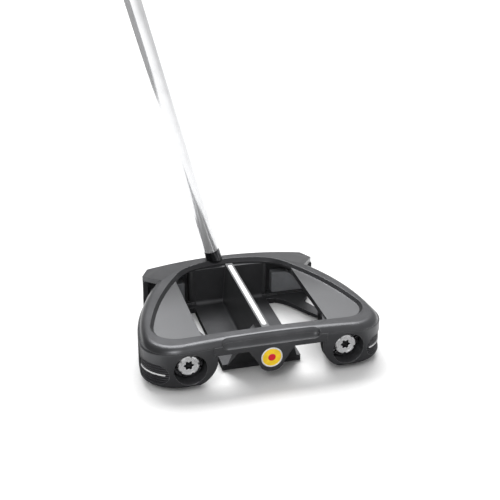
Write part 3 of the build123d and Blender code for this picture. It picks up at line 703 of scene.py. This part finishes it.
@dataclass(frozen=True)
class WeightPort:
    """Screw weight, the tabbed ring under its head and the bush that it screws into, in one pod."""

    side: Side
    tab_start: float
    port_x: float = 43.6
    port_z: float = 14.0
    seat_y: float = -43.0
    head_radius: float = 5.8
    head_height: float = 3.0
    shank_length: float = 13.0
    thread_radius: float = 3.98
    thread_root: float = 3.36
    pitch: float = 1.25
    ring_radius: float = 8.6
    ring_bore: float = 4.05
    ring_height: float = 2.0
    tab_height: float = 1.4
    tabs: int = 5
    thread_relief: float = 2.2
    thread_rings: int = 10
    notch_depth: float = 0.75
    star_radius: float = 2.33
    star_lobe: float = 0.42
    star_lobes: int = 6

    @property
    def centre(self) -> Numbers:
        """Middle of the seat under the head, in millimetres."""
        return (self.side.value * self.port_x, self.seat_y, self.port_z)

    @property
    def place(self) -> Matrix:
        """Frame place of the seat under the head, with Z out to the rear and X to the toe."""
        return Matrix.Translation(self.centre) @ REARWARD

    def _tab_angles(self) -> list[float]:
        """Middles of the ring's tabs in radians, from the toe side round towards the crown."""
        return [math.radians(self.tab_start + 360.0 * index / self.tabs) for index in range(self.tabs)]

    def _thread(self, height: float) -> Outline:
        """Radius of the thread at one height, as a function of the angle."""

        def radius(angle: float) -> float:
            """Radius at one angle: a flattened crest and root, one turn to each pitch."""
            turn = (height / self.pitch - angle / math.tau) % 1.0
            crest = min(1.0, max(0.0, 1.5 * (1.0 - abs(2.0 * turn - 1.0)) - 0.25))
            return self.thread_root + (self.thread_radius - self.thread_root) * crest

        return radius

    def _notched(self, full: float) -> Outline:
        """Rim radius with a round notch midway between each two tabs."""
        middles = [angle + math.pi / self.tabs for angle in self._tab_angles()]

        def radius(angle: float) -> float:
            """Rim radius at one angle."""
            return full - self.notch_depth * max(plateau(angle, middle, 0.05, 0.10) for middle in middles)

        return radius

    def _star(self, grow: float) -> Outline:
        """Radius of the six-lobed socket, larger by grow."""

        def radius(angle: float) -> float:
            """Socket radius at one angle."""
            return self.star_radius + grow + self.star_lobe * math.cos(self.star_lobes * angle)

        return radius

    def screw(self) -> Piece:
        """Build the screw weight: threaded shank, notched disc and star socket."""
        stations: list[Station] = [(2.9, -self.shank_length), (3.3, 0.35 - self.shank_length)]
        threaded = self.shank_length - self.thread_relief
        steps = int(threaded / self.pitch * self.thread_rings)
        for index in range(steps + 1):
            height = 0.6 - self.shank_length + threaded * index / steps
            stations.append((self._thread(height), height))
        top = self.head_height
        stations += [(3.3, -1.4), (3.3, -0.02), (3.4, 0.0), (5.5, 0.0), (self._notched(5.72), 0.08)]
        stations += [(self._notched(self.head_radius), 0.3), (self._notched(self.head_radius), top - 0.5)]
        stations += [(self._notched(5.66), top - 0.18), (self._notched(5.4), top), (4.7, top)]
        stations += [(4.55, top - 0.14), (4.2, top - 0.14), (4.05, top), (self._star(0.2), top)]
        stations += [(self._star(0.03), top - 0.15), (self._star(0.0), top - 0.4)]
        stations += [(self._star(0.0), top - 2.1), (self._star(-0.15), top - 2.2), (0.6, top - 2.35)]
        return Lathe(120).form(f"{self.side.label}_screw_weight", stations, self.place)

    def ring(self) -> Piece:
        """Build the ring: a turned washer with five standing tabs."""

        def raised(height: float) -> Outline:
            """Height of the tabs' tops as a function of the angle."""
            tabs = self._tab_angles()
            return lambda angle: height * max(plateau(angle, tab, 0.135, 0.045) for tab in tabs)

        low, bore, outer, tall = -self.ring_height, self.ring_bore, self.ring_radius, self.tab_height
        stations: list[Station] = [(bore, low), (bore, -0.2), (bore + 0.2, 0.0), (6.15, 0.0)]
        stations += [(6.25, raised(0.35 * tall)), (6.35, raised(0.8 * tall)), (6.55, raised(tall))]
        stations += [(7.8, raised(tall)), (8.0, raised(0.8 * tall)), (8.08, raised(0.35 * tall))]
        stations += [(8.15, 0.0), (outer - 0.2, 0.0)]
        stations += [(outer, -0.2), (outer, low + 0.2), (outer - 0.2, low), (bore + 0.15, low)]
        return Lathe(240).form(f"{self.side.label}_tabbed_ring", stations, self.place, hollow=True)

    def build(self, nodes: Nodes) -> None:
        """Build and dress the port's pieces.

        Args:
            nodes: the CAD nodes by name.
        """
        label = self.side.label
        screw = self.screw()
        bright = Turned(f"{label}_bright_steel", (0.94, 0.94, 0.95), self.centre, roughness=0.22,
                        metallic=0.45, socket_shade_radius=2.9, socket_shade_y=0.35 - self.head_height)
        dress(screw, bright.build())
        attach(screw, f"{label}_screw")
        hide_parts(f"{label}_weight")
        logger.info("screw weight %s: %d faces", label, len(screw.data.polygons))
        ring = self.ring()
        dress(ring, Turned(f"{label}_dark_steel", (0.20, 0.20, 0.21), self.centre, roughness=0.18).build())
        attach(ring, f"{label}_ring")
        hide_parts(f"{label}_weight_ring")
        logger.info("tabbed ring %s: %d faces", label, len(ring.data.polygons))
        bush = Turned(f"{label}_bush_steel", (0.30, 0.30, 0.31), self.centre)
        dress(nodes[f"{label}_port_bush"], bush.build())


@dataclass(frozen=True)
class Badge:
    """Round badge on the boss: a bright rim, a domed yellow field and a red stud."""

    face_y: float = -52.0
    height: float = 16.0
    rim_radius: float = 5.9
    field_radius: float = 5.1
    stud_radius: float = 2.1
    rings: int = 12

    @property
    def place(self) -> Matrix:
        """Frame place of the badge's middle, with its Z axis out to the rear."""
        return Matrix.Translation((0, self.face_y, self.height)) @ REARWARD

    def build(self) -> None:
        """Build and dress the badge's three pieces."""
        lathe = Lathe(96)
        rim, inner, stud = self.rim_radius, self.field_radius, self.stud_radius
        rim_stations: list[Station] = [(0.4, -1.0), (rim, -1.0), (rim, -0.05), (rim - 0.06, 0.12)]
        rim_stations += [(rim - 0.25, 0.22), (inner + 0.25, 0.22), (inner + 0.06, 0.14), (inner, 0.0)]
        rim_stations += [(inner, -0.5), (0.4, -0.5)]
        field_stations: list[Station] = [(stud, -0.5), (inner, -0.5), (inner, -0.06)]
        for step in range(1, self.rings + 1):
            rise = 1 - (1 - step / self.rings) ** 2
            field_stations.append((inner - 0.25 * step, -0.06 + 0.10 * rise))
        stud_stations: list[Station] = [(0.3, -0.5), (stud, -0.5), (stud, 0.0)]
        for step in range(1, 10):
            angle = step / 10 * math.pi / 2
            stud_stations.append((stud * math.cos(angle) ** 0.6, 0.16 * math.sin(angle)))
        pieces = (
            ("badge_rim", lathe.form("polished_rim", rim_stations, self.place), "badge_metal",
             Polished("rim_plating", (0.90, 0.90, 0.88), 0.16, metallic=0.4)),
            ("badge_field", lathe.form("enamel_field", field_stations, self.place, hollow=True),
             "badge_yellow", Enamel("yellow_enamel", (0.90, 0.60, 0.03))),
            ("badge_centre", lathe.form("enamel_stud", stud_stations, self.place), "badge_red",
             Enamel("red_enamel", (0.62, 0.02, 0.035))),
        )
        for node, piece, slot, finish in pieces:
            dress(piece, finish.build())
            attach(piece, "club")
            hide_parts(node)
            logger.info("badge piece %s", node)


@dataclass(frozen=True)
class ShaftAndGrip:
    """Stepped steel shaft, the tape on its butt, the rubber grip and the grip's cap."""

    foot: Numbers = (-7.5, 45.8, 29.5)
    lean: float = 15.4
    start: float = 6.5
    bore: float = 4.0
    tip_radius: float = 4.7
    butt_radius: float = 7.6
    wall: float = 0.7
    step_start: float = 300.0
    steps: int = 14
    step_spacing: float = 18.0
    club_length: float = 863.6
    grip_length: float = 268.0
    cap_length: float = 5.0
    tape: float = 0.4
    mouth_section: Numbers = (9.3, 10.6, 7.6)
    butt_section: Numbers = (10.8, 14.0, 11.0)
    tape_inset: float = 8.0
    panels: int = 8
    groove_width: float = 2.4
    groove_depth: float = 0.55
    vent_radius: float = 1.6

    @property
    def place(self) -> Matrix:
        """Frame place of the shaft's foot, with its Z axis up the shaft and its X axis to the toe."""
        return Matrix.Translation(self.foot) @ Matrix.Rotation(-math.radians(self.lean), 4, "Y")

    @property
    def cap_start(self) -> float:
        """Distance from the crown to the cap's underside."""
        return self.club_length - self.foot[2] / math.cos(math.radians(self.lean)) - self.cap_length

    @property
    def grip_start(self) -> float:
        """Distance from the crown to the grip's mouth."""
        return self.cap_start + self.cap_length - self.grip_length

    def shaft(self) -> Piece:
        """Build the tube: parallel tip, coned steps and a parallel butt."""
        start, end, tip, butt = self.start, self.cap_start, self.tip_radius, self.butt_radius
        stations: list[Station] = [(self.bore, start), (tip - 0.12, start), (tip, start + 0.15)]
        rise = (butt - tip) / self.steps
        for step in range(self.steps):
            height = self.step_start + step * self.step_spacing
            radius = tip + rise * step
            stations += [(radius, height - 0.2), (radius + 0.1 * rise, height + 0.1)]
            stations += [(radius + 0.9 * rise, height + 0.8), (radius + rise, height + 1.1)]
        bore_end = self.step_start + self.steps * self.step_spacing
        stations += [(butt, end - 0.2), (butt - 0.2, end), (butt - self.wall, end)]
        stations += [(butt - self.wall, bore_end), (self.bore, self.step_start)]
        return Lathe(96).form("stepped_shaft", stations, self.place, hollow=True)

    def _section(self, along: float, shrink: float) -> Outline:
        """Outline of the grip, flat in front and round behind, as a radius about the shaft's axis.

        Args:
            along: 0 at the mouth and 1 at the butt.
            shrink: how far the outline lies inside the full one, in millimetres.

        Returns:
            Radius as a function of the angle.
        """
        pairs = zip(self.mouth_section, self.butt_section)
        front, back, flat = (first + (second - first) * along for first, second in pairs)
        bend = ((front + back) ** 2 + flat**2) / (2.0 * (front + back))
        middle = bend - back

        def radius(angle: float) -> float:
            """Radius at one angle, with the flat's corners rounded."""
            arc = middle * math.cos(angle) + math.sqrt(bend**2 - (middle * math.sin(angle)) ** 2)
            level = front / max(math.cos(angle), 0.05) if math.cos(angle) > 0 else 1000.0
            return min(arc, level, (arc**-9 + min(level, 500.0) ** -9) ** (-1 / 9)) - shrink

        return radius

    def grip(self) -> Piece:
        """Build the grip: a tapering skin with shallow grooves between its panels and a rolled mouth."""
        first, last, section = self.grip_start, self.cap_start, self._section
        inset, groove = first + self.tape_inset, self.groove_depth
        stations: list[Station] = [(self.butt_radius, first), (section(0.0, 0.7), first)]
        stations += [(section(0.0, 0.2), first + 0.3), (section(0.0, 0.0), first + 1.0)]
        length = last - first - 14.0
        for panel in range(self.panels):
            low = first + 8.0 + length * panel / self.panels
            high = first + 8.0 + length * (panel + 1) / self.panels - self.groove_width
            for height, shrink in ((low, groove), (low + 0.5, 0.05), (high, 0.05), (high + 0.5, groove)):
                stations.append((section((height - first) / (last - first), shrink), height))
        stations += [(section(0.985, 0.0), last - 3.9), (section(1.0, 0.0), last - 0.3)]
        wide = self.butt_radius + self.tape
        stations += [(section(1.0, 0.25), last), (wide, last), (wide, inset), (self.butt_radius, inset)]
        return Lathe(96).form("ribbed_grip", stations, self.place, hollow=True)

    def cap(self) -> Piece:
        """Build the cap: a domed end with a vent."""
        base, vent, section = self.cap_start, self.vent_radius, self._section
        top = base + self.cap_length
        stations: list[Station] = [(vent, base), (section(1.0, 0.3), base), (section(1.0, 0.05), base + 0.3)]
        for step in range(9):
            angle = step / 8 * math.pi / 2
            shrink = 0.05 + 2.4 * (1 - math.cos(angle))
            stations.append((section(1.0, shrink), top - 2.4 + 2.1 * math.sin(angle)))
        stations += [(7.0, top - 0.12), (2.4, top), (1.9, top - 0.1), (vent, top - 0.5)]
        return Lathe(96).form("vented_cap", stations, self.place, hollow=True)

    def build(self, nodes: Nodes) -> None:
        """Build and dress the shaft's and the grip's pieces.

        Args:
            nodes: the CAD nodes by name.
        """
        turn = (0.0, -math.radians(self.lean), 0.0)
        chrome = Polished("polished_chrome", (0.86, 0.865, 0.875), 0.09, turn=turn, metallic=0.6)
        rubber = GripRubber("grip_rubber", self.lean, self.foot)
        polymer = Moulded("cap_polymer", (0.03, 0.03, 0.032), 0.38, 0.5)
        pieces = (
            ("shaft", self.shaft(), "shaft_chrome", chrome),
            ("grip", self.grip(), "grip_rubber", rubber),
            ("grip_cap", self.cap(), "cap_plastic", polymer),
        )
        for node, piece, slot, finish in pieces:
            dress(piece, finish.build())
            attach(piece, "club")
            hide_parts(node)
            logger.info("%s: %d faces", piece.name, len(piece.data.polygons))
        dress(nodes["grip_tape"], Moulded("paper_tape", (0.72, 0.70, 0.64), 0.75, 0.7, 0.04).build())


def facing(place: Numbers, aim: Numbers) -> Matrix:
    """Transform that puts a light or a camera at one point and faces it to another."""
    turn = (Vector(aim) - Vector(place)).to_track_quat("-Z", "Y")
    return Matrix.Translation(place) @ turn.to_matrix().to_4x4()


@dataclass(frozen=True)
class Studio:
    """Pale floor, soft lights, cards that paint dark reflections, and the camera."""

    camera_place: Numbers = (-0.14223, -0.51409, 0.30554)
    camera_aim: Numbers = (-0.00524, -0.02607, 0.06749)
    camera_roll: float = 0.4256
    lens: float = 76.31
    sky: float = 0.55
    floor_half: float = 6000.0
    floor_drop: float = 0.4
    backdrop: float = 5000.0

    def floor(self) -> None:
        """Build the floor, which turns up far behind into a backdrop."""
        mesh = bmesh.new()
        bmesh.ops.create_grid(mesh, x_segments=8, y_segments=8, size=self.floor_half)
        edge_y = self.floor_half - 1.0
        far = [edge for edge in mesh.edges if all(point.co.y > edge_y for point in edge.verts)]
        grown = bmesh.ops.extrude_edge_only(mesh, edges=far)["geom"]
        bmesh.ops.translate(mesh, vec=(0, 0, self.backdrop), verts=new_points(grown))
        floor = finish_mesh(mesh, "studio_floor", Matrix.Translation((0, 0, -self.floor_drop)))
        dress(floor, StudioPaper().build())

    def softbox(self, name: str, place: Numbers, aim: Numbers, size: Numbers, power: float) -> None:
        """Hang one rectangular light.

        Args:
            name: the light's name.
            place: its middle, in metres.
            aim: the point it faces.
            size: width and height in metres.
            power: in watts.
        """
        data = bpy.data.lights.new(name, "AREA")
        data.shape = "RECTANGLE"
        data.size, data.size_y = size
        data.energy = power
        light = bpy.data.objects.new(name, data)
        light.matrix_world = facing(place, aim)
        bpy.context.scene.collection.objects.link(light)

    def painted_reflection_card(self, name: str, place: Numbers, turn: Numbers, size: Numbers, grey: float) -> None:
        """Hang a card that shows only in gloss: a painted reflection, dark or light, that is not seen
        directly and casts no shade.

        Args:
            name: the card's name.
            place: its middle, in metres.
            turn: its rotation about X, Y and Z in degrees; unturned it lies flat.
            size: its width and length in metres.
            grey: its brightness.
        """
        mesh = bmesh.new()
        bmesh.ops.create_grid(mesh, x_segments=2, y_segments=2, size=0.5 / MM)
        bmesh.ops.scale(mesh, vec=(size[0], size[1], 1.0), verts=mesh.verts)
        spin = Matrix.Identity(4)
        for angle, axis in zip(turn, "XYZ"):
            spin = Matrix.Rotation(math.radians(angle), 4, axis) @ spin
        card = finish_mesh(mesh, name, Matrix.Translation(Vector(place) / MM) @ spin)
        paint = Shader(f"{name}_cloth")
        card_noise = paint.noise(paint.place(), 2.0, 2.0)
        shade = (grey, grey, grey)
        paint.set(Base_Color=paint.blend(card_noise, shade, shade), Roughness=1.0, Specular_IOR_Level=0.0)
        dress(card, paint.material)
        card.visible_camera = False
        card.visible_diffuse = False
        card.visible_shadow = False
        card.visible_transmission = False

    def sky_light(self) -> None:
        """Light the whole room evenly and softly."""
        world = bpy.data.worlds.new("studio_sky")
        world.use_nodes = True
        background = world.node_tree.nodes["Background"]
        background.inputs["Color"].default_value = (1.0, 1.0, 1.0, 1.0)
        background.inputs["Strength"].default_value = self.sky
        bpy.context.scene.world = world
        bpy.context.scene.view_settings.view_transform = "Standard"

    def camera(self) -> None:
        """Set the camera and make it the scene's."""
        data = bpy.data.cameras.new("studio_camera")
        data.lens = self.lens
        data.sensor_width = 36.0
        data.clip_start = 0.01
        camera = bpy.data.objects.new("studio_camera", data)
        roll = Matrix.Rotation(math.radians(self.camera_roll), 4, "Z")
        camera.matrix_world = facing(self.camera_place, self.camera_aim) @ roll
        bpy.context.scene.collection.objects.link(camera)
        bpy.context.scene.camera = camera

    def build(self) -> None:
        """Build the studio."""
        self.floor()
        self.sky_light()
        self.softbox("overhead", (0.1, 0.9, 1.5), (0, 0.0, 0.02), (1.6, 1.0), 36.0)
        self.softbox("heel_rear", (-0.5, -0.9, 1.0), (0, -0.02, 0.02), (0.5, 0.5), 5.0)
        # Painted reflections: dark cards seen only in gloss, under the head and to its left.
        self.painted_reflection_card("painted_reflection_under_head", (0.0, -0.02, -0.0002), (0, 0, 0), (0.17, 0.17), 0.02)
        self.painted_reflection_card("painted_reflection_left", (-0.22, 0.10, 0.30), (0, 90, 0), (0.60, 0.55), 0.02)
        self.camera()


def main() -> None:
    """Build the putter's looks in order."""
    logging.basicConfig(level=logging.INFO, format="%(message)s")
    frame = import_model()
    nodes = frame["nodes"]
    Head().dress(nodes)
    WeightPort(Side.HEEL, tab_start=-32.0).build(nodes)
    WeightPort(Side.TOE, tab_start=16.0).build(nodes)
    Badge().build()
    ShaftAndGrip().build(nodes)
    Studio().build()


if __name__ == "__main__":
    main()
